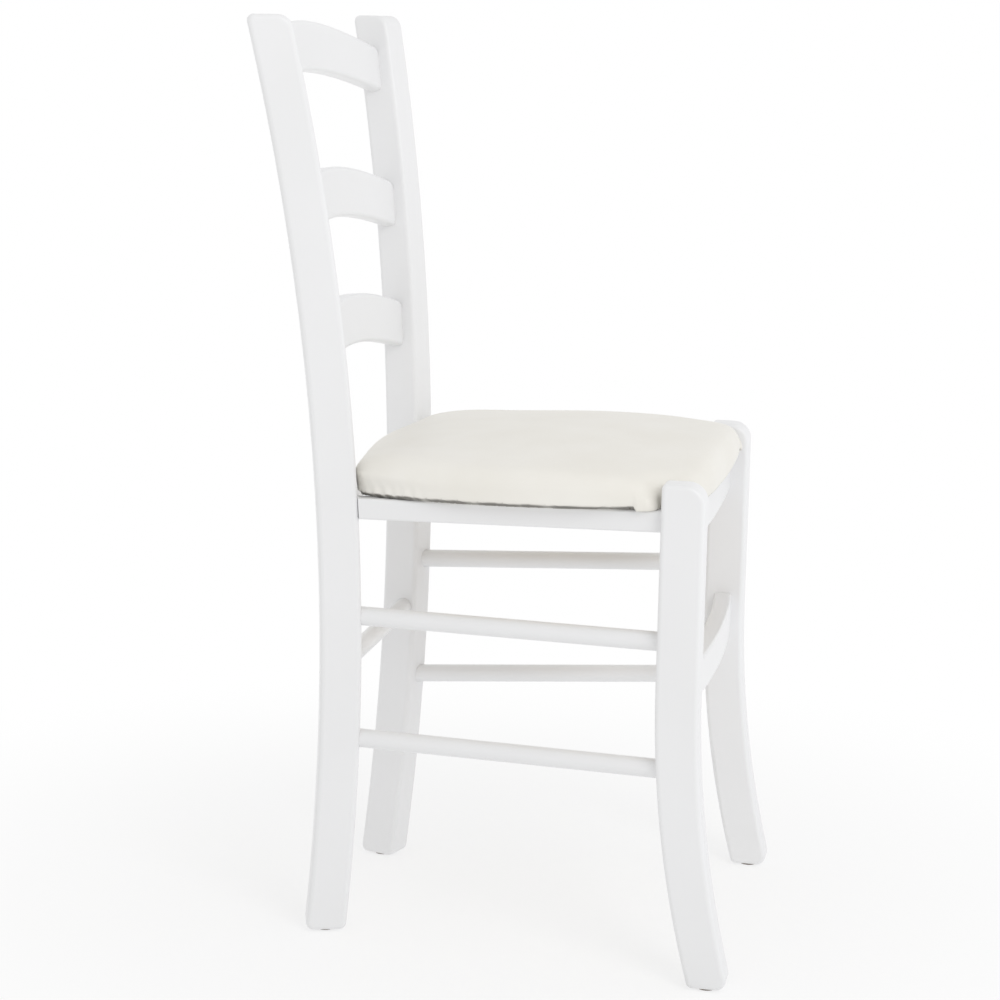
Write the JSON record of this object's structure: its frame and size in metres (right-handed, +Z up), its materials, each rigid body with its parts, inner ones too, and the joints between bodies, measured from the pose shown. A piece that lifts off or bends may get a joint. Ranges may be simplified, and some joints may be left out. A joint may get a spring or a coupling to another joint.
{
  "type": "ladder-back dining chair with padded seat",
  "caption": "Armless dining chair with a splayed ladder back of arched slats, round side stretchers and a crowned faux-leather seat pad for one person at a table",
  "frame": {"origin": "on the floor, under the middle of the chair's bounding box", "axes": "+Z up; the sitter faces -Y; +X is the sitter's left"},
  "size_m": [0.4362, 0.479, 0.88],
  "materials": {
    "white_lacquered_wood": "satin lacquer over beech",
    "plywood": "bare plywood",
    "foam": "open foam",
    "cream_faux_leather": "fine even grain, low sheen",
    "bright_steel": "bright zinc",
    "brown_plastic": "matt"
  },
  "bodies": {
    "root": {"cover_staples": "bright_steel", "foot_glides": "brown_plastic", "front_leg_left": "white_lacquered_wood", "front_leg_right": "white_lacquered_wood", "front_seat_rail": "white_lacquered_wood", "front_stretcher": "white_lacquered_wood", "lower_side_stretcher_left": "white_lacquered_wood", "lower_side_stretcher_right": "white_lacquered_wood", "lower_slat": "white_lacquered_wood", "middle_slat": "white_lacquered_wood", "rear_post_left": "white_lacquered_wood", "rear_post_right": "white_lacquered_wood", "rear_seat_rail": "white_lacquered_wood", "rear_stretcher": "white_lacquered_wood", "seat_board": "plywood", "seat_cover": "cream_faux_leather", "seat_foam": "foam", "seat_screws": "bright_steel", "side_seat_rail_left": "white_lacquered_wood", "side_seat_rail_right": "white_lacquered_wood", "top_slat": "white_lacquered_wood", "upper_side_stretcher_left": "white_lacquered_wood", "upper_side_stretcher_right": "white_lacquered_wood"}
  },
  "joints": []
}
